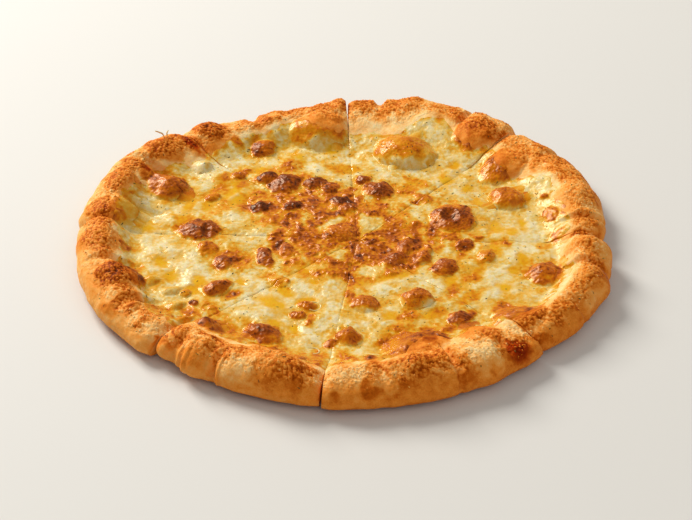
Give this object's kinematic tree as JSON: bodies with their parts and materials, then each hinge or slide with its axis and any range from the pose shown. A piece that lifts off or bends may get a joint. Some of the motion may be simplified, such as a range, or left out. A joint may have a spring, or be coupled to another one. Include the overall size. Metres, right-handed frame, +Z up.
{
  "type": "white pizza",
  "caption": "Whole white pizza, cut into slices that lie together: thick blistered rolled rim and a sheet of browned melted cheese.",
  "frame": {"origin": "middle of the footprint, on the plane the pizza rests on", "axes": "+Z up out of the cheese; +X to the right and +Y away from the camera as the picture shows it, with one cut running almost along +X"},
  "size_m": [0.4043, 0.3852, 0.0305],
  "materials": {
    "baked_dough": "dry baked crust",
    "melted_cheese": "oily melted cheese"
  },
  "bodies": {
    "root": {"crust_1": "baked_dough", "crust_2": "baked_dough", "crust_3": "baked_dough", "crust_4": "baked_dough", "crust_5": "baked_dough", "crust_6": "baked_dough", "crust_7": "baked_dough", "crust_8": "baked_dough", "cheese_1": "melted_cheese", "cheese_2": "melted_cheese", "cheese_3": "melted_cheese", "cheese_4": "melted_cheese", "cheese_5": "melted_cheese", "cheese_6": "melted_cheese", "cheese_7": "melted_cheese", "cheese_8": "melted_cheese"}
  },
  "joints": []
}
